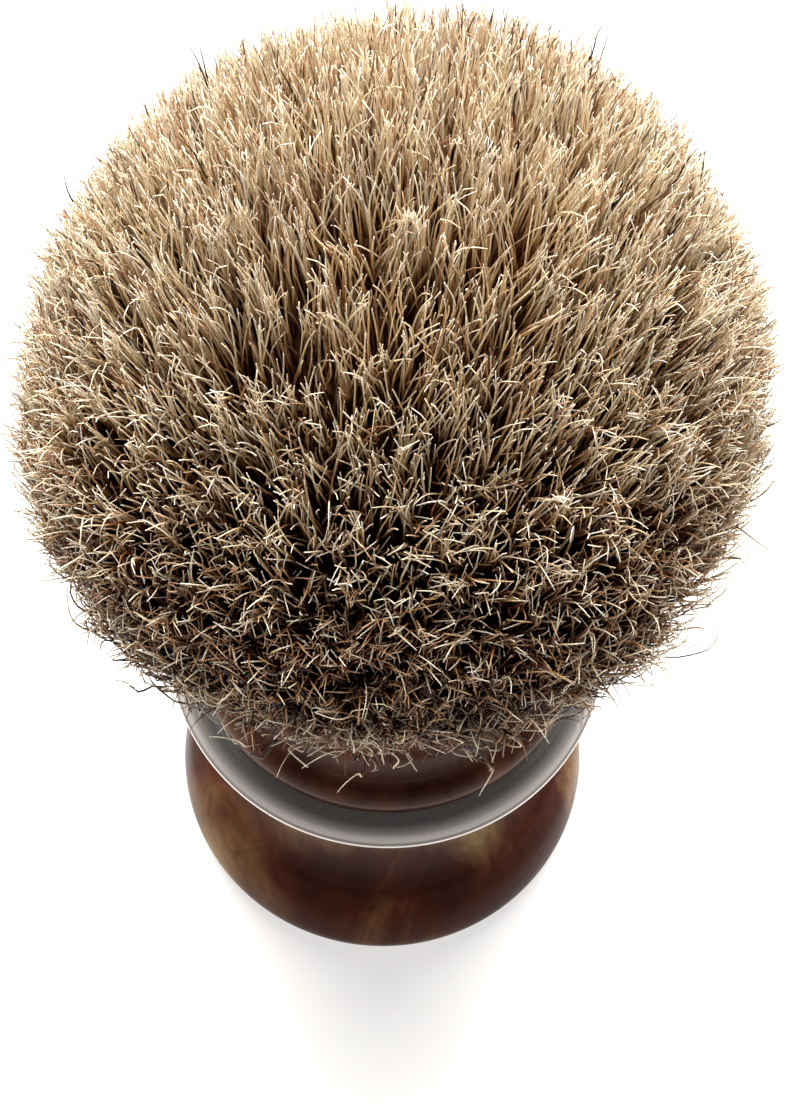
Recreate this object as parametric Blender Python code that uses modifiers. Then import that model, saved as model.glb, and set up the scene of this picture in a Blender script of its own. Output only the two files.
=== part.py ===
"""Shaving brush with a turned horn-look resin handle, a metal ring and a badger hair knot.

Every piece is a turned solid on the Z axis. The origin is the centre of the foot's
underside, where the brush stands. Lengths are in metres, written as millimetres * MM.
"""
import math

import bpy

MM = 0.001
OBJECT_NAME = "shaving_brush"

# Driving dimensions
FIT_GAP = 0.3 * MM              # clearance left between two pieces that touch
OUTER_STEPS = 48                # segments around the pieces that are seen
INNER_STEPS = 24                # segments around the pieces inside the handle

FOOT_RADIUS = 18.0 * MM         # widest point of the rounded foot
FOOT_WIDEST_Z = 3.4 * MM
FOOT_TOP_Z = 29.7 * MM          # seat under the metal ring
FOOT_SEAT_RADIUS = 14.8 * MM
WAIST_RADIUS = 12.4 * MM
WAIST_Z = 19.5 * MM

RING_RADIUS = 17.95 * MM        # thin outer edge of the metal ring
RING_EDGE_Z = 33.3 * MM
RING_TOP_Z = 35.0 * MM
RING_TOP_RADIUS = 14.6 * MM
RING_BORE_RADIUS = 8.6 * MM

COLLAR_BEAD_RADIUS = 15.95 * MM  # rounded bead that overhangs the ring
COLLAR_BEAD_ROUND = 2.0 * MM
COLLAR_COVE_RADIUS = 13.5 * MM
COLLAR_BELLY_RADIUS = 14.4 * MM
COLLAR_TOP_Z = 56.0 * MM        # total height of the handle
COLLAR_LIP_RADIUS = 13.3 * MM

STUD_RADIUS = 3.0 * MM
STUD_LENGTH = 24.0 * MM
STUD_BOTTOM_Z = 16.2 * MM

SOCKET_RADIUS = 12.6 * MM       # blind hole in the collar that takes the knot
SOCKET_FLOOR_Z = 43.0 * MM
GLUE_WALL = 0.6 * MM
GLUE_FLOOR = 0.8 * MM
PLUG_HEIGHT = 6.0 * MM
BINDING_TURNS = 3
BINDING_THREAD = 0.85 * MM      # thickness of the binding thread

KNOT_RADIUS = 25.5 * MM         # widest point of the bloom
KNOT_WIDEST_Z = 82.0 * MM
KNOT_TOP_Z = 107.9 * MM

# Heights that follow from the driving dimensions
RING_BOTTOM_Z = FOOT_TOP_Z + FIT_GAP
COLLAR_BOTTOM_Z = RING_TOP_Z + FIT_GAP
SPIGOT_RADIUS = RING_BORE_RADIUS - FIT_GAP
SPIGOT_BOTTOM_Z = FOOT_TOP_Z + FIT_GAP
STUD_TOP_Z = STUD_BOTTOM_Z + STUD_LENGTH
STUD_HOLE_RADIUS = STUD_RADIUS + FIT_GAP
GLUE_BOTTOM_Z = SOCKET_FLOOR_Z + FIT_GAP
GLUE_TOP_Z = COLLAR_TOP_Z - 0.6 * MM
GLUE_RADIUS = SOCKET_RADIUS - FIT_GAP
PLUG_RADIUS = GLUE_RADIUS - GLUE_WALL - FIT_GAP
PLUG_BOTTOM_Z = GLUE_BOTTOM_Z + GLUE_FLOOR + FIT_GAP
PLUG_TOP_Z = PLUG_BOTTOM_Z + PLUG_HEIGHT
BINDING_BOTTOM_Z = PLUG_TOP_Z + FIT_GAP
BINDING_TOP_Z = BINDING_BOTTOM_Z + BINDING_TURNS * BINDING_THREAD
BOUND_HAIR_RADIUS = PLUG_RADIUS - BINDING_THREAD - FIT_GAP

RESIN_FOOT = (0.110, 0.050, 0.026)
RESIN_COLLAR = (0.060, 0.026, 0.015)
STEEL = (0.62, 0.59, 0.60)
ZINC = (0.55, 0.55, 0.53)
GLUE_AMBER = (0.55, 0.42, 0.20)
EPOXY_BLACK = (0.035, 0.030, 0.028)
THREAD_WHITE = (0.70, 0.66, 0.58)
HAIR_TAN = (0.42, 0.31, 0.20)


def arc(centre_r, centre_z, radius, start_deg, end_deg, steps):
    """Points of a circular arc in the (radius, height) plane."""
    points = []
    for index in range(steps + 1):
        angle = math.radians(start_deg + (end_deg - start_deg) * index / steps)
        points.append((centre_r + radius * math.cos(angle), centre_z + radius * math.sin(angle)))
    return points


def smooth_through(knots, steps):
    """Catmull-Rom curve through a few (radius, height) points, ends included."""
    padded = [knots[0]] + list(knots) + [knots[-1]]
    points = []
    for before, start, end, after in zip(padded, padded[1:], padded[2:], padded[3:]):
        for index in range(steps):
            t = index / steps
            point = []
            for axis in (0, 1):
                a, b, c, d = before[axis], start[axis], end[axis], after[axis]
                point.append(0.5 * (2 * b + (c - a) * t + (2 * a - 5 * b + 4 * c - d) * t ** 2
                                    + (3 * b - a - 3 * c + d) * t ** 3))
            points.append(tuple(point))
    points.append(tuple(knots[-1]))
    return points


def make_material(name, colour, roughness, metallic=0.0):
    material = bpy.data.materials.new(name)
    material.use_nodes = True
    shader = material.node_tree.nodes["Principled BSDF"]
    shader.inputs["Base Color"].default_value = (*colour, 1.0)
    shader.inputs["Roughness"].default_value = roughness
    shader.inputs["Metallic"].default_value = metallic
    material.diffuse_color = (*colour, 1.0)
    return material


def turned(name, profile, closed, steps, material, collection):
    """Solid turned about Z from a profile whose outer side runs from top to bottom."""
    vertices = [(radius, 0.0, height) for radius, height in profile]
    edges = [(index, index + 1) for index in range(len(profile) - 1)]
    if closed:
        edges.append((len(profile) - 1, 0))
    mesh = bpy.data.meshes.new(name)
    mesh.from_pydata(vertices, edges, [])
    mesh.materials.append(material)
    piece = bpy.data.objects.new(name, mesh)
    collection.objects.link(piece)
    screw = piece.modifiers.new("turn", "SCREW")
    screw.axis = "Z"
    screw.angle = math.tau
    screw.steps = steps
    screw.render_steps = steps
    screw.use_merge_vertices = True
    screw.merge_threshold = 0.00001
    screw.use_smooth_shade = True
    return piece


def build_handle_foot(collection):
    """Lower handle: rounded foot, concave waist, seat for the ring, blind hole for the stud."""
    hole_floor = STUD_BOTTOM_Z - FIT_GAP
    flare = smooth_through([
        (FOOT_SEAT_RADIUS, FOOT_TOP_Z - 0.6 * MM),
        (13.4 * MM, 25.2 * MM),
        (WAIST_RADIUS, WAIST_Z),
        (13.3 * MM, 14.4 * MM),
        (15.3 * MM, 11.2 * MM),
    ], 3)
    rim = smooth_through([
        (15.9 * MM, 10.6 * MM),
        (17.3 * MM, 7.4 * MM),
        (FOOT_RADIUS, FOOT_WIDEST_Z),
        (17.4 * MM, 1.1 * MM),
        (16.2 * MM, 0.0),
    ], 3)
    profile = [(0.0, hole_floor), (STUD_HOLE_RADIUS, hole_floor), (STUD_HOLE_RADIUS, FOOT_TOP_Z),
               (FOOT_SEAT_RADIUS - 0.5 * MM, FOOT_TOP_Z)]
    profile += flare + rim + [(0.0, 0.0)]
    material = make_material("foot_resin", RESIN_FOOT, 0.18)
    return turned("handle_foot", profile, False, OUTER_STEPS, material, collection)


def build_metal_ring(collection):
    """Polished disc that overhangs the waist: flat above, bevelled to a thin edge, hollowed below."""
    shoulder = smooth_through([
        (RING_TOP_RADIUS, RING_TOP_Z),
        (15.9 * MM, 34.95 * MM),
        (16.7 * MM, 34.7 * MM),
        (17.25 * MM, 34.2 * MM),
        (17.72 * MM, 33.62 * MM),
    ], 2)
    underside = smooth_through([
        (RING_RADIUS - 0.25 * MM, 32.95 * MM),
        (17.2 * MM, 32.1 * MM),
        (16.4 * MM, 31.3 * MM),
        (15.6 * MM, 30.7 * MM),
        (14.9 * MM, RING_BOTTOM_Z),
    ], 2)
    profile = [(RING_BORE_RADIUS, RING_TOP_Z)] + shoulder + [(RING_RADIUS, RING_EDGE_Z)]
    profile += underside + [(RING_BORE_RADIUS, RING_BOTTOM_Z)]
    material = make_material("ring_steel", STEEL, 0.16, 1.0)
    return turned("metal_ring", profile, True, OUTER_STEPS, material, collection)


def build_handle_collar(collection):
    """Upper handle: spigot through the ring, bead, cove, belly and the socket for the knot."""
    hole_top = STUD_TOP_Z + FIT_GAP
    lip = arc(COLLAR_LIP_RADIUS, COLLAR_TOP_Z - 0.7 * MM, 0.7 * MM, 90.0, 25.0, 3)
    side = smooth_through([
        lip[-1],
        (14.35 * MM, 52.6 * MM),
        (COLLAR_BELLY_RADIUS, 49.0 * MM),
        (COLLAR_COVE_RADIUS, 43.0 * MM),
        (13.75 * MM, 40.5 * MM),
        (14.45 * MM, 39.25 * MM),
    ], 3)
    bead = arc(COLLAR_BEAD_RADIUS - COLLAR_BEAD_ROUND, COLLAR_BOTTOM_Z + 1.9 * MM,
               COLLAR_BEAD_ROUND, 62.0, -62.0, 7)
    profile = [(0.0, SOCKET_FLOOR_Z), (SOCKET_RADIUS, SOCKET_FLOOR_Z),
               (SOCKET_RADIUS, COLLAR_TOP_Z)]
    profile += lip + side[1:] + bead
    profile += [(14.4 * MM, COLLAR_BOTTOM_Z), (SPIGOT_RADIUS, COLLAR_BOTTOM_Z),
                (SPIGOT_RADIUS, SPIGOT_BOTTOM_Z), (STUD_HOLE_RADIUS, SPIGOT_BOTTOM_Z),
                (STUD_HOLE_RADIUS, hole_top), (0.0, hole_top)]
    material = make_material("collar_resin", RESIN_COLLAR, 0.15)
    return turned("handle_collar", profile, False, OUTER_STEPS, material, collection)


def build_joining_stud(collection):
    """Plated rod that joins foot, ring and collar, with chamfered ends."""
    chamfer = 0.7 * MM
    profile = [(0.0, STUD_TOP_Z), (STUD_RADIUS - chamfer, STUD_TOP_Z),
               (STUD_RADIUS, STUD_TOP_Z - chamfer), (STUD_RADIUS, STUD_BOTTOM_Z + chamfer),
               (STUD_RADIUS - chamfer, STUD_BOTTOM_Z), (0.0, STUD_BOTTOM_Z)]
    material = make_material("stud_zinc", ZINC, 0.35, 1.0)
    return turned("joining_stud", profile, False, INNER_STEPS, material, collection)


def build_knot_glue(collection):
    """Cup of set adhesive between the socket and the knot's plug."""
    inner_radius = GLUE_RADIUS - GLUE_WALL
    inner_floor = GLUE_BOTTOM_Z + GLUE_FLOOR
    profile = [(0.0, inner_floor), (inner_radius, inner_floor), (inner_radius, GLUE_TOP_Z),
               (GLUE_RADIUS, GLUE_TOP_Z), (GLUE_RADIUS, GLUE_BOTTOM_Z), (0.0, GLUE_BOTTOM_Z)]
    material = make_material("set_adhesive", GLUE_AMBER, 0.4)
    return turned("knot_glue", profile, False, INNER_STEPS, material, collection)


def build_knot_plug(collection):
    """Cast epoxy foot of the knot, in which the root ends of the hair are set."""
    chamfer = 0.6 * MM
    profile = [(0.0, PLUG_TOP_Z), (PLUG_RADIUS, PLUG_TOP_Z),
               (PLUG_RADIUS, PLUG_BOTTOM_Z + chamfer),
               (PLUG_RADIUS - chamfer, PLUG_BOTTOM_Z), (0.0, PLUG_BOTTOM_Z)]
    material = make_material("plug_epoxy", EPOXY_BLACK, 0.3)
    return turned("knot_plug", profile, False, INNER_STEPS, material, collection)


def build_knot_binding(collection):
    """Thread wound around the hair just above the plug, one rounded rib for each turn."""
    inner_radius = BOUND_HAIR_RADIUS + FIT_GAP
    profile = [(inner_radius, BINDING_TOP_Z)]
    half = BINDING_THREAD / 2
    for turn in range(BINDING_TURNS):
        rib_z = BINDING_TOP_Z - half - turn * BINDING_THREAD
        rib = arc(inner_radius + half, rib_z, half, 80.0, -80.0, 4)
        profile += rib
    profile.append((inner_radius, BINDING_BOTTOM_Z))
    material = make_material("binding_thread", THREAD_WHITE, 0.8)
    return turned("knot_binding", profile, True, INNER_STEPS, material, collection)


def build_knot_hair(collection):
    """Outer shape of the hair: bound root, neck in the collar, bulb-shaped bloom."""
    neck_radius = PLUG_RADIUS
    bloom = smooth_through([
        (0.0, KNOT_TOP_Z),
        (7.6 * MM, KNOT_TOP_Z - 1.0 * MM),
        (14.6 * MM, 103.2 * MM),
        (20.4 * MM, 97.6 * MM),
        (24.1 * MM, 90.2 * MM),
        (KNOT_RADIUS, KNOT_WIDEST_Z),
        (23.2 * MM, 73.4 * MM),
        (19.0 * MM, 65.6 * MM),
        (14.6 * MM, 59.4 * MM),
        (neck_radius + 0.4 * MM, COLLAR_TOP_Z + 0.2 * MM),
    ], 3)
    profile = bloom + [(neck_radius, COLLAR_TOP_Z - 1.0 * MM),
                       (neck_radius, BINDING_TOP_Z + 1.2 * MM),
                       (BOUND_HAIR_RADIUS, BINDING_TOP_Z + FIT_GAP),
                       (BOUND_HAIR_RADIUS, BINDING_BOTTOM_Z), (0.0, BINDING_BOTTOM_Z)]
    material = make_material("badger_hair", HAIR_TAN, 0.75)
    return turned("knot_hair", profile, False, OUTER_STEPS, material, collection)


def main():
    for old in list(bpy.data.objects):
        bpy.data.objects.remove(old, do_unlink=True)
    collection = bpy.data.collections.new(OBJECT_NAME)
    bpy.context.scene.collection.children.link(collection)
    build_handle_foot(collection)
    build_metal_ring(collection)
    build_handle_collar(collection)
    build_joining_stud(collection)
    build_knot_glue(collection)
    build_knot_plug(collection)
    build_knot_binding(collection)
    build_knot_hair(collection)


main()
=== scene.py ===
import math

import bpy
import numpy as np
from mathutils import Matrix, Vector, kdtree


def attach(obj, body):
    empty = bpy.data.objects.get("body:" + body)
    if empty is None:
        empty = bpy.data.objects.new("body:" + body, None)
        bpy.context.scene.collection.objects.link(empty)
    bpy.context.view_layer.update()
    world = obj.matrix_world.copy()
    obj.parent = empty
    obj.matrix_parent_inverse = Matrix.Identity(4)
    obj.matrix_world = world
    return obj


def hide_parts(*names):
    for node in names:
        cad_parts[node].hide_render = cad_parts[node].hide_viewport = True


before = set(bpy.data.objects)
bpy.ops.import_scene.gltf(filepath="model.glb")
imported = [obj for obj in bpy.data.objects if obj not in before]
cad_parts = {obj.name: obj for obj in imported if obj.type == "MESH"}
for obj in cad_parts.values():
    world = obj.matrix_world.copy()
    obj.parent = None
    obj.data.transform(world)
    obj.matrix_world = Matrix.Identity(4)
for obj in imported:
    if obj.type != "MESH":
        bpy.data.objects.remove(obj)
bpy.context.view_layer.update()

MM = 0.001

# Camera, in millimetres and degrees
EYE = (0.76, -89.0, 272.8)
TILT_DOWN = 68.1
ROLL = -2.70
FOCAL_HEIGHTS = 2.788           # focal length as a multiple of the frame's height
SENSOR_MM = 36.0

# Turned profiles, as (radius, height) in millimetres
FOOT_TOP = 29.7
FOOT_TOP_EDGE = 14.3            # radius of the flat on top of the foot
FOOT_SIDE = [(14.8, 29.1), (13.4, 25.2), (12.4, 19.5), (13.3, 14.4), (15.3, 11.2)]
FOOT_RIM = [(15.9, 10.6), (17.3, 7.4), (18.0, 3.4), (17.4, 1.1), (16.2, 0.0)]
RING_SHOULDER = [(15.5, 35.0), (15.9, 34.86), (16.6, 34.55), (17.22, 34.12), (17.72, 33.6)]
RING_EDGE = (17.65, 33.3, 0.3)  # centre and radius of the rounded edge
RING_UNDER = [(17.7, 32.95), (17.2, 32.1), (16.4, 31.3), (15.6, 30.7), (14.9, 30.0)]
RING_BOTTOM = 30.0
RING_BORE = 8.6
COLLAR_SIDE = [(14.35, 52.6), (14.4, 49.0), (13.5, 43.0), (13.75, 40.5), (14.45, 39.25)]
COLLAR_BEAD = (13.95, 37.2, 2.0)  # centre and radius of the bead above the ring
COLLAR_TOP = 56.0
COLLAR_LIP = (13.3, 0.7)        # radius of the lip's middle, and of its rounding
COLLAR_BOTTOM = 35.3
COLLAR_BOTTOM_EDGE = 14.4
SPIGOT_RADIUS = 8.3             # the collar's spigot passes through the ring
SOCKET_RADIUS = 12.6
SOCKET_FLOOR = 43.0
STUD_HOLE = (3.3, 15.9, 40.5)   # radius, lowest and highest point
ROUND_STEPS = 256
SHARP_ANGLE = 38.0
POLISH_FADE = (10.0, 14.0)      # heights between which the resin's polish changes
BLOOM = [(0.0, 107.9), (7.6, 106.9), (14.6, 103.2), (20.4, 97.6), (24.1, 90.2),
         (25.6, 83.5), (25.5, 80.0)]

# Light, in metres. A direction's Y is 1 straight behind, and its Z is 1 straight up
SKY_HORIZON = 0.66
SKY_OVERHEAD = 0.06
SKY_FADE = (0.0, 0.80)          # Z where the horizon's light starts to fade, and where it has gone
WALL_BEHIND = 3.8
WALL_FADE = (0.29, 0.97)        # Y where the bright wall behind begins, and where it is brightest
ROOM_COLOUR = (1.0, 0.985, 0.97, 1.0)
KEY_PLACE = (-0.02, 0.33, 0.62)
KEY_TARGET = (0.0, 0.0, 0.08)
KEY_SIZE = 0.70
KEY_WATTS = 20.5
KEY_COLOUR = (1.0, 0.99, 0.97)
FLOOR_HALF_SIZE = 3.0
FLOOR_COLOUR = (0.40, 0.391, 0.382, 1.0)
FLOOR_GLOW = 0.68

# Hair, in millimetres
ROOT_RADIUS = 11.3
ROOT_HEIGHT = 54.2
ROOT_FLARE = 0.62               # slope at which the outermost hairs leave the handle
CURVE_GRIP = 0.36               # share of a hair's reach that its curve's handles take at each end
TIP_LEAN = 0.77                 # degrees that a tip leans out for each millimetre from the axis
EDGE_LEAN = 4.0                 # further degrees at the edge of the bloom
TIP_STRAY = (0.13, 0.20)        # spread of the tips' directions, in the middle and low at the front
BLOOM_SKEW = 0.050              # sideways set of the tips for each millimetre towards the back
BLOOM_RADIUS = 25.0             # radius at which the swells below are measured
BLOOM_SWELLS = [                # direction and width in degrees, and how far the bloom bulges there
    (127.0, 16.0, 1.3), (97.0, 16.0, -0.8), (60.0, 11.0, 1.2), (40.0, 13.0, -1.4),
    (205.0, 14.0, 1.0), (233.0, 12.0, 1.2), (307.0, 12.0, 1.3), (330.0, 12.0, -1.0)]
FRONT_TRIM = 2.2                # how far the hair stands back along the front edge
HAIR_COUNT = 19500
STRAND_SIDES = 4                # four, so that a strand's end caps are quads as its walls are
STRAND_RADIUS = (0.052, 0.078)
TIP_TAPER = (0.45, 1.0)         # share of its radius that a strand has at its tip, and further in
TAPER_LENGTH = 4.0
ROOT_THINNING = 0.25            # share of its radius that a strand loses towards its root
THINNING_START = 25.0           # distance from the tip, and the length that the loss takes
OUTER_SHARE = 0.28              # share of the hair that is seen along its whole length
SEEN_LENGTH = 13.0              # length made of the hair inside the bloom
PLACE_JITTER = 0.012            # spread of a tip's share of the knot, and of its direction
TURN_JITTER = 0.02
COARSE_TUFTS = (650, 0.15, 0.60)  # number of tufts, and how strongly they gather the tips
FINE_TUFTS = (4200, 0.15, 0.65)
COARSE_DROP = 0.8               # spread of how much lower the tufts stand
FINE_DROP = 0.5
LONGEST = 1.4                   # how far the longest hairs stand out of the bloom's outline
TUFT_REACH = 11.0               # length of hair, from its tip, that a tuft draws in
BEND_REACH = 13.0               # length of hair, from its tip, that bends
EVEN_END = 7.5                  # sets how fine the steps are towards the tip
LENGTH_ON_MAP = 60.0            # length of hair that the colour map covers
MAP_EDGE = 0.002
TIP_KEPT = 1.5                  # the stretch at a tip that keeps its colour when its pale end is cut shorter
HAIR_BANDS = [                  # distance from the tip and colour, from root to tip
    (60.0, (0.22, 0.18, 0.14)), (40.0, (0.17, 0.13, 0.095)), (30.0, (0.060, 0.034, 0.020)),
    (20.0, (0.040, 0.014, 0.006)), (10.5, (0.070, 0.020, 0.006)), (8.2, (0.16, 0.054, 0.018)),
    (6.2, (0.50, 0.31, 0.15)), (4.4, (0.71, 0.58, 0.385)), (2.2, (0.80, 0.715, 0.55)),
    # the darker colour at the very tip is painted shade, against the strong light on the upturned tips
    (0.0, (0.74, 0.67, 0.55))]
HAIR_TINTS = [                  # share of the hairs, from dark to pale, and what multiplies the band
    (0.05, (0.13, 0.085, 0.065)), (0.14, (0.46, 0.28, 0.19)), (0.28, (0.86, 0.74, 0.61)),
    (0.45, (0.98, 0.93, 0.86)), (0.75, (1.0, 0.99, 0.97)), (1.0, (0.74, 0.76, 0.84))]

# Hair that is combed and hair that is loose, in that order. The hair low at the front is loose
LOOSE_SHARE = (0.12, 0.67)      # shares of the knot where the loose hair begins, and where it is loosest
CURLED = (0.03, 0.60)           # share of the hairs with a curled tip
CURL_TURN = (0.7, 2.2)          # least and most that a curled tip turns, in radians
CURL_LENGTH = (1.4, 3.2)
PLAIN_TURN = (0.20, 1.00)       # spread of the turn of the other tips
PLAIN_LENGTH = (2.5, 5.0)
BEND = (0.28, 0.36)             # spread of how far a tip bends aside
WAVE_SIZE = (0.11, 0.35)
WAVE_PACE = (1.0, 1.9)          # what multiplies the rate below
WAVE_RATE = (0.5, 1.2)          # least and most, in radians for each millimetre
SHORTER = (1.1, 2.7)            # how much shorter a hair is than its tuft, on average
STOUTER = (1.0, 1.08)
DARK_SHARE = (0.0, 0.68)        # share of the hairs that are dark to the tip, in combed and in loose hair; the rise on loose hair low at the front is painted shade
DARK_TONE = 0.20                # share of its tone that a dark hair keeps
PALE_END_SHADED = 8.0             # how much shorter the pale end is on loose hair, as painted shade low at the front
PALE_END_LIT = 0.8           # how much longer the pale end is at the back, as painted light on the lit side
PALE_END_SPREAD = 0.8

# Single hairs that stand clear of the knot
STRAY_RINGS = 20
STRAY_AIM = 0.16                # spread of their directions
STRAY_BEND = 0.4
STRAY_WAVY = 0.3
STRAY_TUCK = 0.30               # how far a tip moves in for each millimetre that it hangs down

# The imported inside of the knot
CORE_SHARES = (0.76, 0.80)      # its size as shares of the bloom's radius and height
CORE_NECK = (13.4, 63.0)
CORE_ROOT_RADIUS = 9.6
CORE_BOTTOM = 51.0

rng = np.random.default_rng(853)


def smooth_through(knots, steps):
    """Catmull-Rom curve through a few (radius, height) points, ends included."""
    padded = [knots[0]] + list(knots) + [knots[-1]]
    points = []
    for a, b, c, d in zip(padded, padded[1:], padded[2:], padded[3:]):
        for index in range(steps):
            t = index / steps
            points.append(tuple(
                0.5 * (2 * b[k] + (c[k] - a[k]) * t + (2 * a[k] - 5 * b[k] + 4 * c[k] - d[k]) * t ** 2
                       + (3 * b[k] - a[k] - 3 * c[k] + d[k]) * t ** 3) for k in (0, 1)))
    points.append(tuple(knots[-1]))
    return points


def arc(centre_r, centre_z, radius, start_deg, end_deg, steps):
    """Points of a rounded edge. 0 degrees faces outward, and 90 degrees faces up."""
    angles = np.radians(np.linspace(start_deg, end_deg, steps + 1))
    return [(centre_r + radius * math.cos(a), centre_z + radius * math.sin(a)) for a in angles]


def add_object(name, data):
    piece = bpy.data.objects.new(name, data)
    bpy.context.scene.collection.objects.link(piece)
    return piece


# ---------------------------------------------------------------- materials

def new_material(name, roughness, metallic=0.0):
    material = bpy.data.materials.new(name)
    material.use_nodes = True
    nodes = material.node_tree.nodes
    shader = nodes["Principled BSDF"]
    shader.inputs["Roughness"].default_value = roughness
    shader.inputs["Metallic"].default_value = metallic
    return material, nodes, material.node_tree.links, shader


def ramp(nodes, stops):
    node = nodes.new("ShaderNodeValToRGB")
    elements = node.color_ramp.elements
    while len(elements) < len(stops):
        elements.new(0.5)
    for element, (position, colour) in zip(elements, stops):
        element.position = position
        element.color = (*colour, 1.0)
    return node


def noise(nodes, scale, detail=4.0, roughness=0.5, distortion=0.0):
    node = nodes.new("ShaderNodeTexNoise")
    node.inputs["Scale"].default_value = scale
    node.inputs["Detail"].default_value = detail
    node.inputs["Roughness"].default_value = roughness
    node.inputs["Distortion"].default_value = distortion
    return node


def smooth_range(nodes, low, high, least, most):
    node = nodes.new("ShaderNodeMapRange")
    node.interpolation_type = "SMOOTHSTEP"
    node.inputs["From Min"].default_value = low
    node.inputs["From Max"].default_value = high
    node.inputs["To Min"].default_value = least
    node.inputs["To Max"].default_value = most
    return node


def multiply(nodes, links, colour, tint, factor):
    node = nodes.new("ShaderNodeMix")
    node.data_type = "RGBA"
    node.blend_type = "MULTIPLY"
    node.inputs["Factor"].default_value = factor
    links.new(colour.outputs["Color"], node.inputs["A"])
    links.new(tint.outputs["Color"], node.inputs["B"])
    return node


def resin_material(name, stops, scale, offset, clouds, polish):
    """Marbled horn-look resin: veined golden clouds in dark red-brown, under a polish.

    clouds lists where the resin turns lighter, as a point in millimetres, a reach and a strength; a
    negative strength turns it darker. Most are golden marbling, and on the foot's waist some are painted
    reflection.
    polish is how strongly the surface mirrors below POLISH_FADE and above it.
    """
    material, nodes, links, shader = new_material(name, 0.24)
    shader.inputs["IOR"].default_value = 1.36
    place = nodes.new("ShaderNodeTexCoord")
    height = nodes.new("ShaderNodeSeparateXYZ")
    links.new(place.outputs["Object"], height.inputs["Vector"])
    shine = smooth_range(nodes, *(height_mm * MM for height_mm in POLISH_FADE), *polish)
    links.new(height.outputs["Z"], shine.inputs["Value"])
    links.new(shine.outputs["Result"], shader.inputs["Specular IOR Level"])
    stretch = nodes.new("ShaderNodeMapping")
    stretch.inputs["Location"].default_value = offset
    stretch.inputs["Rotation"].default_value = (0.3, 0.5, 0.4)
    stretch.inputs["Scale"].default_value = (1.0, 1.0, 0.55)
    links.new(place.outputs["Object"], stretch.inputs["Vector"])
    marbling = noise(nodes, scale, detail=5.0, roughness=0.55, distortion=1.1)
    links.new(stretch.outputs["Vector"], marbling.inputs["Vector"])
    total = marbling.outputs["Fac"]
    for centre, reach, strength in clouds:
        apart = nodes.new("ShaderNodeVectorMath")
        apart.operation = "DISTANCE"
        apart.inputs[1].default_value = [v * MM for v in centre]
        links.new(place.outputs["Object"], apart.inputs[0])
        fade = smooth_range(nodes, 0.0, reach * MM, strength, 0.0)
        links.new(apart.outputs["Value"], fade.inputs["Value"])
        joined = nodes.new("ShaderNodeMath")
        links.new(total, joined.inputs[0])
        links.new(fade.outputs["Result"], joined.inputs[1])
        total = joined.outputs[0]
    colours = ramp(nodes, stops)
    links.new(total, colours.inputs["Fac"])
    veins = noise(nodes, scale * 5.0, detail=6.0, roughness=0.6, distortion=2.5)
    links.new(stretch.outputs["Vector"], veins.inputs["Vector"])
    vein_tone = ramp(nodes, [(0.38, (0.62, 0.56, 0.52)), (0.60, (1.0, 1.0, 1.0))])
    links.new(veins.outputs["Fac"], vein_tone.inputs["Fac"])
    mix = multiply(nodes, links, colours, vein_tone, 0.75)
    links.new(mix.outputs["Result"], shader.inputs["Base Color"])
    return material


def steel_material():
    """Polished steel with faint turning marks around the ring."""
    material, nodes, links, shader = new_material("polished_steel", 0.2, 1.0)
    shader.inputs["Base Color"].default_value = (0.56, 0.518, 0.492, 1.0)
    place = nodes.new("ShaderNodeTexCoord")
    stretch = nodes.new("ShaderNodeMapping")
    stretch.inputs["Scale"].default_value = (120.0, 120.0, 9000.0)
    links.new(place.outputs["Object"], stretch.inputs["Vector"])
    marks = noise(nodes, 1.0, detail=3.0)
    links.new(stretch.outputs["Vector"], marks.inputs["Vector"])
    gloss = nodes.new("ShaderNodeMapRange")
    gloss.inputs["To Min"].default_value = 0.20
    gloss.inputs["To Max"].default_value = 0.34
    links.new(marks.outputs["Fac"], gloss.inputs["Value"])
    links.new(gloss.outputs["Result"], shader.inputs["Roughness"])
    return material


def hair_material():
    """Banded hair. The map's v runs from root to tip, and its u from dark hairs to pale ones."""
    material, nodes, links, shader = new_material("badger_hair_banded", 0.50)
    shader.inputs["Specular IOR Level"].default_value = 0.20
    uv = nodes.new("ShaderNodeUVMap")
    uv.uv_map = "OFBake"
    split = nodes.new("ShaderNodeSeparateXYZ")
    links.new(uv.outputs["UV"], split.inputs["Vector"])
    bands = ramp(nodes, [(1.0 - left / LENGTH_ON_MAP, colour) for left, colour in HAIR_BANDS])
    links.new(split.outputs["Y"], bands.inputs["Fac"])
    tint = ramp(nodes, HAIR_TINTS)
    links.new(split.outputs["X"], tint.inputs["Fac"])
    mix = multiply(nodes, links, bands, tint, 1.0)
    links.new(mix.outputs["Result"], shader.inputs["Base Color"])
    return material


def fibre_material():
    """Dark packed hair inside the knot, seen only in the gaps."""
    material, nodes, links, shader = new_material("packed_hair", 0.9)
    shader.inputs["Specular IOR Level"].default_value = 0.1
    place = nodes.new("ShaderNodeTexCoord")
    fibres = noise(nodes, 2600.0, detail=3.0)
    links.new(place.outputs["Object"], fibres.inputs["Vector"])
    tone = ramp(nodes, [(0.3, (0.022, 0.008, 0.004)), (0.7, (0.075, 0.028, 0.013))])
    links.new(fibres.outputs["Fac"], tone.inputs["Fac"])
    links.new(tone.outputs["Color"], shader.inputs["Base Color"])
    return material


def grained_material(name, dark, light, scale, roughness, metallic=0.0):
    """Plain stock with a fine two-tone grain, for what lies inside the handle."""
    material, nodes, links, shader = new_material(name, roughness, metallic)
    place = nodes.new("ShaderNodeTexCoord")
    grain = noise(nodes, scale, detail=3.0)
    links.new(place.outputs["Object"], grain.inputs["Vector"])
    tone = ramp(nodes, [(0.35, dark), (0.65, light)])
    links.new(grain.outputs["Fac"], tone.inputs["Fac"])
    links.new(tone.outputs["Color"], shader.inputs["Base Color"])
    return material


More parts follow.
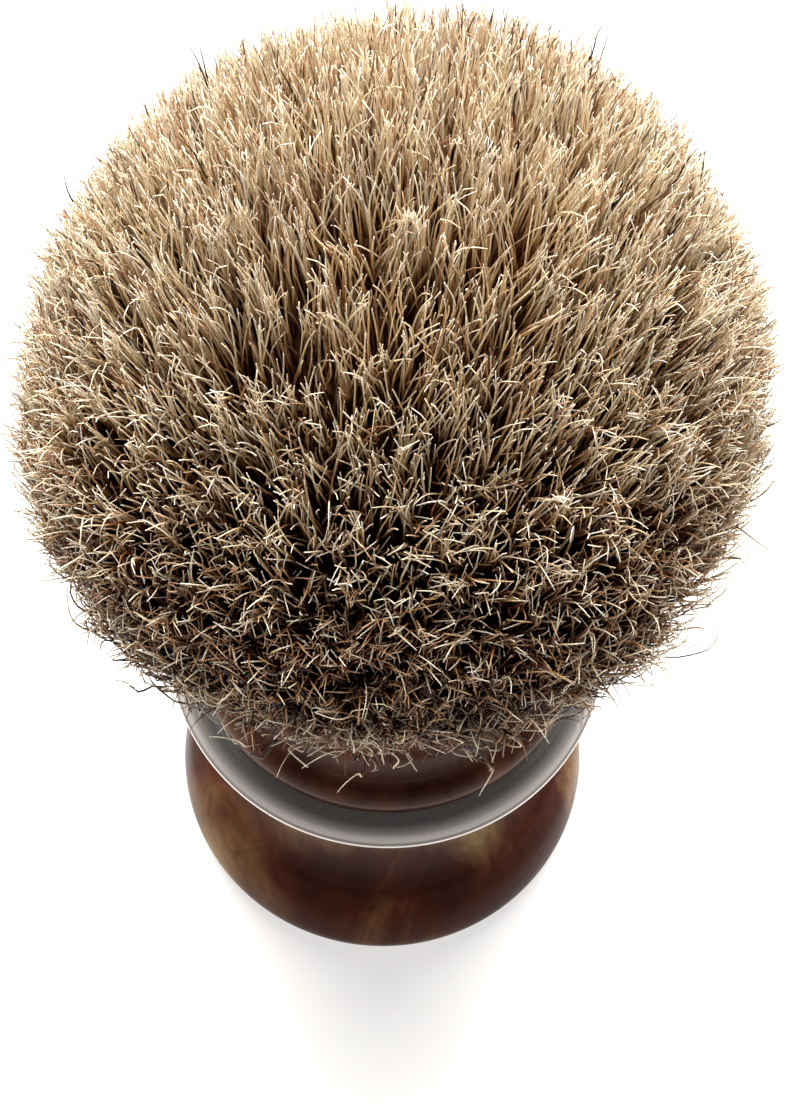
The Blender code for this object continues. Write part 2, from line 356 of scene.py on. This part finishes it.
def finish_inside():
    """Materials for the pieces of the frame that stay as they are, inside the handle."""
    finishes = {
        "joining_stud": ("zinc_plate", (0.42, 0.42, 0.40), (0.62, 0.62, 0.59), 900.0, 0.35, 1.0),
        "knot_glue": ("amber_adhesive", (0.34, 0.22, 0.08), (0.58, 0.44, 0.20), 260.0, 0.35),
        "knot_plug": ("black_epoxy", (0.012, 0.010, 0.009), (0.035, 0.030, 0.027), 400.0, 0.3),
        "knot_binding": ("waxed_thread", (0.50, 0.45, 0.37), (0.76, 0.72, 0.64), 2400.0, 0.75)}
    for node, finish in finishes.items():
        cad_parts[node].data.materials.clear()
        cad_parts[node].data.materials.append(grained_material(*finish))


# ---------------------------------------------------------------- turned pieces

def revolve(name, profile, material, closed=False, steps=ROUND_STEPS):
    """Mesh turned about Z. The profile's outer side runs from top to bottom.

    A closed profile joins its last point to its first, as a ring's does.
    """
    points = np.array(profile) * MM
    on_axis = points[:, 0] < 1e-9
    angles = np.arange(steps) * math.tau / steps
    vertices, rows = [], []
    for (radius, height), single in zip(points, on_axis):
        first = len(vertices)
        if single:
            vertices.append((0.0, 0.0, height))
            rows.append([first] * steps)
        else:
            vertices.extend((radius * math.cos(a), radius * math.sin(a), height) for a in angles)
            rows.append(list(range(first, first + steps)))
    pairs = list(zip(rows, rows[1:]))
    if closed:
        pairs.append((rows[-1], rows[0]))
    faces = []
    for upper, lower in pairs:
        for k in range(steps):
            n = (k + 1) % steps
            corners = [upper[k], lower[k], lower[n], upper[n]]
            face = [v for i, v in enumerate(corners) if v != corners[i - 1]]
            if len(face) >= 3:
                faces.append(face)
    mesh = bpy.data.meshes.new(name)
    mesh.from_pydata(vertices, [], faces)
    mesh.shade_smooth()
    mesh.set_sharp_from_angle(angle=math.radians(SHARP_ANGLE))
    mesh.materials.append(material)
    return add_object(name, mesh)


def carry(piece, node):
    """Makes a piece stand for a node of the frame."""
    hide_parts(node)
    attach(piece, "root")
    return piece


def build_foot():
    radius, floor, _ = STUD_HOLE
    profile = [(0.0, floor), (radius, floor), (radius, FOOT_TOP), (FOOT_TOP_EDGE, FOOT_TOP)]
    profile += smooth_through(FOOT_SIDE, 14) + smooth_through(FOOT_RIM, 12) + [(0.0, 0.0)]
    # Most clouds are golden marbling. Those at (-7, -11.5, 16.5) and (1, -13, 17.5) are painted
    # reflection that lightens the waist's front where the ring and floor would mirror in it. The one at
    # (10.5, -10, 16.5) is a real golden streak, made stronger as painted light on a waist in shade.
    colour_clouds = [((-15.5, -10.0, 5.0), 13.0, 0.19), ((10.5, -10.0, 16.5), 9.0, 0.40),
            ((-7.0, -11.5, 16.5), 8.5, 0.26), ((1.0, -13.0, 17.5), 7.0, 0.20),
            ((-15.5, -1.0, 9.0), 6.5, -0.18), ((17.0, -2.0, 6.0), 6.5, 0.18),
            ((-12.0, 12.0, 22.0), 12.0, 0.20), ((13.0, 9.0, 3.0), 10.0, 0.16),
            ((0.0, 14.0, 12.0), 9.0, 0.14)]
    tones = [(0.38, (0.026, 0.0042, 0.0012)), (0.56, (0.060, 0.0115, 0.0040)),
             (0.68, (0.152, 0.070, 0.026)), (0.86, (0.40, 0.265, 0.095))]
    material = resin_material("horn_resin_foot", tones, 55.0, (0.3, 0.1, 0.7), colour_clouds, (0.03, 0.18))
    return carry(revolve("resin_foot", profile, material), "handle_foot")


def build_ring():
    shoulder = smooth_through(RING_SHOULDER, 12)
    profile = [(RING_BORE, RING_SHOULDER[0][1])] + shoulder
    profile += arc(*RING_EDGE, 45.0, -60.0, 14)
    profile += smooth_through(RING_UNDER, 8) + [(RING_BORE, RING_BOTTOM)]
    piece = revolve("steel_ring", profile, steel_material(), closed=True)
    return carry(piece, "metal_ring")


def build_collar():
    lip_middle, rounding = COLLAR_LIP
    lip = arc(lip_middle, COLLAR_TOP - rounding, rounding, 90.0, 25.0, 8)
    side = smooth_through([lip[-1]] + COLLAR_SIDE, 12)
    bead = arc(*COLLAR_BEAD, 62.0, -62.0, 22)
    radius, _, top = STUD_HOLE
    profile = [(0.0, SOCKET_FLOOR), (SOCKET_RADIUS, SOCKET_FLOOR), (SOCKET_RADIUS, COLLAR_TOP)]
    profile += lip + side[1:] + bead
    profile += [(COLLAR_BOTTOM_EDGE, COLLAR_BOTTOM), (SPIGOT_RADIUS, COLLAR_BOTTOM),
                (SPIGOT_RADIUS, RING_BOTTOM), (radius, RING_BOTTOM), (radius, top), (0.0, top)]
    colour_clouds = [((-13.0, -4.0, 40.0), 9.0, 0.12), ((12.0, 8.0, 48.0), 10.0, 0.16),
            ((-6.0, 13.0, 44.0), 9.0, 0.14)]
    tones = [(0.36, (0.040, 0.0115, 0.0060)), (0.56, (0.095, 0.032, 0.017)),
             (0.72, (0.15, 0.068, 0.034)), (0.88, (0.28, 0.17, 0.080))]
    material = resin_material("horn_resin_collar", tones, 60.0, (0.9, 0.2, 0.1), colour_clouds, (0.12, 0.12))
    piece = revolve("resin_collar", profile, material)
    return carry(piece, "handle_collar")


# ---------------------------------------------------------------- hair

def bloom_surface():
    """Radius and height along the bloom, by the share of its area above the point."""
    outline = np.array(smooth_through(BLOOM, 16))
    steps = np.hypot(*np.diff(outline, axis=0).T)
    middle = 0.5 * (outline[1:, 0] + outline[:-1, 0])
    area = np.concatenate([[0.0], np.cumsum(steps * middle)])
    return area / area[-1], outline


def unit(vectors):
    return vectors / np.linalg.norm(vectors, axis=-1, keepdims=True)


def within(pair, share):
    """The value that lies that share of the way from the first of a pair to the second."""
    return pair[0] + (pair[1] - pair[0]) * share


def ease(value):
    """Smooth rise from 0 to 1 as the value does."""
    value = np.clip(value, 0.0, 1.0)
    return value * value * (3 - 2 * value)


def facing_front(turn):
    """1 on the side the camera is on, 0 on the far side."""
    return 0.5 - 0.5 * np.sin(turn)


def bloom_swell(turn):
    """How far the edge of the bloom bulges in each direction, in millimetres."""
    swell = np.zeros(len(turn))
    for direction, width, rise in BLOOM_SWELLS:
        apart = (np.degrees(turn) - direction + 180.0) % 360.0 - 180.0
        swell += rise * np.exp(-(apart / width) ** 2)
    return swell


def scatter_hair(count, low, high):
    """Root, tip and tip direction of each hair. Share 0 is the middle of the knot, 1 its edge."""
    share = low + (high - low) * (np.arange(count) + rng.random(count)) / count
    around = rng.random(count) * math.tau
    area, outline = bloom_surface()
    tip_share = np.clip(share + rng.normal(0, PLACE_JITTER, count), 0.0, 1.0)
    radius = np.interp(tip_share, area, outline[:, 0])
    height = np.interp(tip_share, area, outline[:, 1])
    turn = around + rng.normal(0, TURN_JITTER, count)
    tips = np.stack([radius * np.cos(turn), radius * np.sin(turn), height], axis=1)
    tips[:, :2] *= (1.0 + bloom_swell(turn) * share ** 2 / BLOOM_RADIUS)[:, None]
    tips[:, 0] += BLOOM_SKEW * tips[:, 1]
    tips[:, 1] += FRONT_TRIM * facing_front(turn) * share ** 3
    root_radius = ROOT_RADIUS * np.sqrt(share)
    roots = np.stack([root_radius * np.cos(around), root_radius * np.sin(around),
                      np.full(count, ROOT_HEIGHT)], axis=1)
    lean = np.radians(radius * TIP_LEAN + EDGE_LEAN * tip_share ** 6)
    aim = np.stack([np.sin(lean) * np.cos(turn), np.sin(lean) * np.sin(turn), np.cos(lean)], axis=1)
    stray = within(TIP_STRAY, facing_front(turn) * share ** 1.5)
    return share, roots, tips, unit(aim + rng.normal(0, 1, (count, 3)) * stray[:, None])


def tuft_shift(tips, aims, tufts, least_pull, most_pull):
    """How far each tip moves to join its tuft, and how much shorter the tuft is."""
    area, outline = bloom_surface()
    place = rng.random(tufts)
    turn = rng.random(tufts) * math.tau
    radius = np.interp(place, area, outline[:, 0])
    centres = np.stack([radius * np.cos(turn), radius * np.sin(turn),
                        np.interp(place, area, outline[:, 1])], axis=1)
    tree = kdtree.KDTree(tufts)
    for index, centre in enumerate(centres):
        tree.insert(centre, index)
    tree.balance()
    nearest = np.array([tree.find(tip)[1] for tip in tips])
    pull = within((least_pull, most_pull), rng.random(tufts))[nearest]
    toward = (centres[nearest] - tips) * (pull * within((0.5, 1.0), rng.random(len(tips))))[:, None]
    toward -= aims * np.sum(toward * aims, axis=1, keepdims=True)
    drop = np.abs(rng.normal(0, 1.0, tufts))[nearest]
    return toward, drop


def hair_curves(roots, tips, aims, start, rings):
    """Points along each hair, closer together near its tip. start is the share left out at the root."""
    reach = np.linalg.norm(tips - roots, axis=1, keepdims=True)
    outward = roots.copy()
    outward[:, 2] = 0.0
    leave = unit(outward / ROOT_RADIUS * ROOT_FLARE + np.array([0.0, 0.0, 1.0]))
    first = roots + leave * reach * CURVE_GRIP
    second = tips - aims * reach * CURVE_GRIP
    shown = 1.0 - start[:, None]
    even = np.clip(EVEN_END / (reach * shown), 0.0, 1.0)
    back = np.linspace(1.0, 0.0, rings)[None, :]
    t = (1.0 - shown * (even * back + (1.0 - even) * back ** 3))[:, :, None]
    s = 1.0 - t
    return (s ** 3 * roots[:, None] + 3 * s ** 2 * t * first[:, None]
            + 3 * s * t ** 2 * second[:, None] + t ** 3 * tips[:, None])


def distance_to_tip(points):
    """Length of hair from each of its points to its tip."""
    steps = np.linalg.norm(np.diff(points, axis=1), axis=2)
    left = np.cumsum(steps[:, ::-1], axis=1)[:, ::-1]
    return np.concatenate([left, np.zeros((len(points), 1))], axis=1)


def across(aims, count):
    """A random direction across each hair."""
    side = rng.normal(0, 1, (count, 3))
    return unit(side - aims * np.sum(side * aims, axis=1, keepdims=True))


def curl_ends(points, aims, turn, length):
    """Bends the last stretch of each hair sideways round an arc, by turn in radians."""
    left = distance_to_tip(points)
    into = np.clip(length[:, None] - left, 0.0, None)
    angle = turn[:, None] * into / length[:, None]
    middle = 0.5 * (angle[:, 1:] + angle[:, :-1])
    step = np.diff(into, axis=1)
    none_yet = np.zeros((len(points), 1))
    lost = np.concatenate([none_yet, np.cumsum((np.cos(middle) - 1.0) * step, axis=1)], axis=1)
    moved = np.concatenate([none_yet, np.cumsum(np.sin(middle) * step, axis=1)], axis=1)
    side = across(aims, len(points))
    return points + aims[:, None] * lost[:, :, None] + side[:, None] * moved[:, :, None]


def style(points, aims, toward, bend, wavy, turn, length):
    """Gathers the ends into tufts, then adds a bend, a wave and a curl at the tip.

    wavy is 0 on combed hair and 1 on loose hair. turn and length are the curl's.
    """
    count = len(points)
    left = distance_to_tip(points)
    points = points + toward[:, None] * ease(1.0 - left / TUFT_REACH)[:, :, None]
    aside = across(aims, count) * (rng.normal(0, 1.0, count) * bend)[:, None]
    points = points + aside[:, None] * (np.clip(1.0 - left / BEND_REACH, 0, 1) ** 2)[:, :, None]
    wave = across(aims, count) * (rng.random(count) * within(WAVE_SIZE, wavy))[:, None]
    phase = rng.random(count)[:, None] * math.tau
    rate = (within(WAVE_RATE, rng.random(count)) * within(WAVE_PACE, wavy))[:, None]
    points = points + wave[:, None] * np.sin(phase + left * rate)[:, :, None]
    return curl_ends(points, aims, turn, length)


def strand_vertices(points, radius):
    """The corners around every point of every strand, in metres."""
    along = unit(np.gradient(points, axis=1))
    side = across(along[:, 0], len(points))[:, None]
    side = unit(side - along * np.sum(side * along, axis=2, keepdims=True))
    other = np.cross(along, side)
    corners = []
    for k in range(STRAND_SIDES):
        angle = k * math.tau / STRAND_SIDES
        corners.append(points + radius[:, :, None] * (math.cos(angle) * side + math.sin(angle) * other))
    return np.stack(corners, axis=2).reshape(-1, 3) * MM


def strand_faces(count, rings):
    """The walls and the two end caps of every strand, as numbers of its vertices."""
    first = (np.arange(count) * rings * STRAND_SIDES)[:, None, None]
    ring = (np.arange(rings - 1) * STRAND_SIDES)[None, :, None]
    k = np.arange(STRAND_SIDES)[None, None, :]
    low = first + ring + k
    low_next = first + ring + (k + 1) % STRAND_SIDES
    walls = np.stack([low, low_next, low_next + STRAND_SIDES, low + STRAND_SIDES], axis=-1)
    root_caps = first[:, 0] + np.arange(STRAND_SIDES)[::-1]
    tip_caps = first[:, 0] + (rings - 1) * STRAND_SIDES + np.arange(STRAND_SIDES)
    return np.concatenate([walls.reshape(-1, 4), root_caps, tip_caps])


def hair_mesh(name, points, strand_radius, tone, pale_end_cut, material):
    """Joins every hair of a piece into one mesh of tapered four-sided strands.

    tone is 0 on the darkest hairs and 1 on the palest. pale_end_cut is how much shorter than usual a
    hair's pale end is, in millimetres; on the knot it holds painted shade low at the front and painted
    light at the back.
    Both go into the UV map that colours the hair.
    """
    count, rings, _ = points.shape
    left = distance_to_tip(points)
    taper = within(TIP_TAPER, np.clip(left / TAPER_LENGTH, 0, 1) ** 0.8)
    thinner_root = 1.0 - ROOT_THINNING * np.clip(left / THINNING_START - 1.0, 0, 1)
    vertices = strand_vertices(points, strand_radius[:, None] * taper * thinner_root)
    faces = strand_faces(count, rings)
    loops = faces.ravel().astype(np.int32)
    mesh = bpy.data.meshes.new(name)
    mesh.vertices.add(len(vertices))
    mesh.vertices.foreach_set("co", vertices.astype(np.float32).ravel())
    mesh.loops.add(len(loops))
    mesh.loops.foreach_set("vertex_index", loops)
    mesh.polygons.add(len(faces))
    mesh.polygons.foreach_set("loop_start", np.arange(len(faces), dtype=np.int32) * faces.shape[1])
    mesh.update(calc_edges=True)
    faded = left + pale_end_cut[:, None] * (1.0 - np.exp(-(left / TIP_KEPT) ** 2))
    v = np.clip(1.0 - faded / LENGTH_ON_MAP, MAP_EDGE, 1.0 - MAP_EDGE)
    u = np.repeat(np.clip(tone, MAP_EDGE, 1.0 - MAP_EDGE)[:, None], rings, axis=1)
    by_vertex = np.repeat(np.stack([u, v], axis=-1).reshape(-1, 2), STRAND_SIDES, axis=0)
    layer = mesh.uv_layers.new(name="OFBake")
    layer.data.foreach_set("uv", by_vertex[loops].astype(np.float32).ravel())
    mesh.shade_smooth()
    mesh.materials.append(material)
    return carry(add_object(name, mesh), "knot_hair")


def split_round(name, parts, points, strand_radius, tone, pale_end_cut, material):
    """Makes the hairs into a few pieces, each a sector of the knot."""
    sector = np.argsort(np.arctan2(points[:, 0, 1], points[:, 0, 0]))
    for index, chosen in enumerate(np.array_split(sector, parts)):
        hair_mesh(f"{name}_{index + 1}", points[chosen], strand_radius[chosen], tone[chosen],
                  pale_end_cut[chosen], material)


def grow_knot(material, name, low, high, rings, parts):
    """The hair between two shares of the knot, gathered in tufts.

    The outermost hair is whole, and of the rest only the seen length is made.
    """
    count = int(HAIR_COUNT * (high - low))
    share, roots, tips, aims = scatter_hair(count, low, high)
    coarse, coarse_drop = tuft_shift(tips, aims, *COARSE_TUFTS)
    fine, fine_drop = tuft_shift(tips + coarse, aims, *FINE_TUFTS)
    front = facing_front(np.arctan2(tips[:, 1], tips[:, 0]))
    loose_from, loosest_at = LOOSE_SHARE
    loose = front ** 2.5 * ease((share - loose_from) / (loosest_at - loose_from))
    short = COARSE_DROP * coarse_drop + FINE_DROP * fine_drop + rng.exponential(within(SHORTER, loose))
    tips = tips - aims * (short - LONGEST)[:, None]
    seen = SEEN_LENGTH / np.linalg.norm(tips - roots, axis=1)
    start = np.zeros(count) if high == 1.0 else np.clip(1.0 - seen, 0.0, 0.9)
    points = hair_curves(roots, tips, aims, start, rings)
    curled = rng.random(count) < within(CURLED, loose)
    turn = np.where(curled, within(CURL_TURN, rng.random(count)),
                    np.abs(rng.normal(0, 1, count)) * within(PLAIN_TURN, loose))
    length = np.where(curled, within(CURL_LENGTH, rng.random(count)),
                      within(PLAIN_LENGTH, rng.random(count)))
    points = style(points, aims, coarse + fine, within(BEND, loose), loose, turn, length)
    strand_radius = within(STRAND_RADIUS, rng.random(count)) * within(STOUTER, loose)
    tone = rng.random(count) ** (1.0 / (1.0 + 1.5 * loose))
    # More hairs dark to the tip where the hair is loose, low at the front: painted shade.
    tone = np.where(rng.random(count) < within(DARK_SHARE, loose), DARK_TONE * tone, tone)
    # Painted shade and light: loose hair low at the front gets a shorter pale end, and hair at the back
    # a longer one, on top of a random spread.
    pale_end_cut = PALE_END_SHADED * loose - PALE_END_LIT * (1.0 - front)
    pale_end_cut += rng.normal(0, PALE_END_SPREAD, count)
    split_round(name, parts, points, strand_radius, tone, pale_end_cut, material)


def grow_strays(material, name, count, shares, spread, out, drop, turn, length, radius, tone, pale_end_cut):
    """Single hairs that stand clear of the knot, within spread degrees of the front.

    out and drop are how far a tip stands out and hangs down, and turn and length are its curl's.
    Apart from spread and pale_end_cut, each is a pair of the least and the most.
    """
    def between(pair):
        return within(pair, rng.random(count))

    _, roots, tips, aims = scatter_hair(count, *shares)
    around = np.radians(-90.0 + between((-spread, spread)))
    from_axis = np.hypot(tips[:, 0], tips[:, 1])
    turned = np.stack([np.cos(around), np.sin(around)], axis=1)
    lean = np.radians(from_axis * TIP_LEAN)
    roots[:, :2] = turned * np.hypot(roots[:, 0], roots[:, 1])[:, None]
    down = between(drop)
    tips[:, :2] = turned * (from_axis - STRAY_TUCK * down)[:, None]
    tips[:, 2] -= down
    aims = np.concatenate([np.sin(lean)[:, None] * turned, np.cos(lean)[:, None]], axis=1)
    aims = unit(aims + rng.normal(0, STRAY_AIM, (count, 3)))
    tips = tips + aims * between(out)[:, None]
    points = hair_curves(roots, tips, aims, np.zeros(count), STRAY_RINGS)
    no_tuft = np.zeros((count, 3))
    points = style(points, aims, no_tuft, STRAY_BEND, STRAY_WAVY, between(turn), between(length))
    hair_mesh(name, points, between(radius), between(tone), np.full(count, pale_end_cut), material)


def build_hair():
    material = hair_material()
    grow_knot(material, "hair_bloom", 0.0, 1.0 - OUTER_SHARE, rings=11, parts=7)
    grow_knot(material, "hair_outer", 1.0 - OUTER_SHARE, 1.0, rings=16, parts=4)
    grow_strays(material, "hair_guard", 60, shares=(0.10, 1.0), spread=180.0, out=(0.8, 3.0),
                drop=(0.0, 0.0), turn=(0.0, 0.5), length=(3.0, 6.0), radius=(0.060, 0.085),
                tone=(0.02, 0.12), pale_end_cut=12.0)
    grow_strays(material, "hair_flyaway", 220, shares=(0.50, 1.0), spread=180.0, out=(0.3, 2.2),
                drop=(0.0, 1.4), turn=(0.2, 1.2), length=(1.5, 4.0), radius=(0.042, 0.056),
                tone=(0.45, 0.9), pale_end_cut=1.0)
    grow_strays(material, "hair_curl", 300, shares=(0.86, 1.0), spread=74.0, out=(-0.4, 1.0),
                drop=(0.0, 1.2), turn=(1.3, 3.4), length=(1.6, 3.2), radius=(0.052, 0.070),
                tone=(0.60, 0.85), pale_end_cut=0.5)


def build_core():
    """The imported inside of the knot, well below the tips."""
    across_share, up_share = CORE_SHARES
    outline = [(r * across_share, ROOT_HEIGHT + (z - ROOT_HEIGHT) * up_share) for r, z in BLOOM]
    profile = smooth_through(outline + [CORE_NECK], 6)
    profile += [(CORE_ROOT_RADIUS, ROOT_HEIGHT), (CORE_ROOT_RADIUS, CORE_BOTTOM), (0.0, CORE_BOTTOM)]
    piece = revolve("hair_core", profile, fibre_material(), steps=ROUND_STEPS // 2)
    return carry(piece, "knot_hair")


# ---------------------------------------------------------------- stage

def build_stage():
    mesh = bpy.data.meshes.new("floor")
    half = FLOOR_HALF_SIZE
    mesh.from_pydata([(-half, -half, 0), (half, -half, 0), (half, half, 0), (-half, half, 0)],
                     [], [(0, 1, 2, 3)])
    material, _, _, shader = new_material("floor_white", 0.7)
    shader.inputs["Base Color"].default_value = FLOOR_COLOUR
    shader.inputs["Emission Color"].default_value = ROOM_COLOUR
    shader.inputs["Emission Strength"].default_value = FLOOR_GLOW
    shader.inputs["Specular IOR Level"].default_value = 0.2
    mesh.materials.append(material)
    add_object("floor", mesh)


def build_key_light():
    light = bpy.data.lights.new("key", "AREA")
    light.shape = "DISK"
    light.size = KEY_SIZE
    light.energy = KEY_WATTS
    light.color = KEY_COLOUR
    lamp = add_object("key", light)
    lamp.location = KEY_PLACE
    lamp.rotation_mode = "QUATERNION"
    lamp.rotation_quaternion = (Vector(KEY_TARGET) - Vector(KEY_PLACE)).to_track_quat("-Z", "Y")


def build_room_light():
    """A bright wall behind, and a glow that fades from the horizon upward."""
    world = bpy.data.worlds.new("studio")
    world.use_nodes = True
    nodes, links = world.node_tree.nodes, world.node_tree.links
    place = nodes.new("ShaderNodeTexCoord")
    split = nodes.new("ShaderNodeSeparateXYZ")
    links.new(place.outputs["Generated"], split.inputs["Vector"])
    behind = smooth_range(nodes, *WALL_FADE, 0.0, WALL_BEHIND)
    links.new(split.outputs["Y"], behind.inputs["Value"])
    room = smooth_range(nodes, *SKY_FADE, SKY_HORIZON, SKY_OVERHEAD)
    links.new(split.outputs["Z"], room.inputs["Value"])
    level = nodes.new("ShaderNodeMath")
    links.new(behind.outputs["Result"], level.inputs[0])
    links.new(room.outputs["Result"], level.inputs[1])
    back = nodes["Background"]
    back.inputs["Color"].default_value = ROOM_COLOUR
    links.new(level.outputs[0], back.inputs["Strength"])
    bpy.context.scene.world = world


def build_camera():
    tilt, roll = math.radians(TILT_DOWN), math.radians(ROLL)
    forward = Vector((0.0, math.cos(tilt), -math.sin(tilt)))
    level_up = Vector((0.0, math.sin(tilt), math.cos(tilt)))
    level_right = Vector((1.0, 0.0, 0.0))
    up = level_up * math.cos(roll) + level_right * math.sin(roll)
    right = level_right * math.cos(roll) - level_up * math.sin(roll)
    turn = Matrix((right, up, -forward)).transposed().to_4x4()
    lens = bpy.data.cameras.new("camera")
    lens.sensor_width = SENSOR_MM
    lens.lens = FOCAL_HEIGHTS * SENSOR_MM
    lens.clip_start = 0.01
    lens.clip_end = 20.0
    camera = add_object("camera", lens)
    camera.matrix_world = Matrix.Translation(Vector(EYE) * MM) @ turn
    bpy.context.scene.camera = camera
    bpy.context.scene.view_settings.view_transform = "Standard"


finish_inside()
build_foot()
build_ring()
build_collar()
build_hair()
build_core()
build_stage()
build_room_light()
build_key_light()
build_camera()
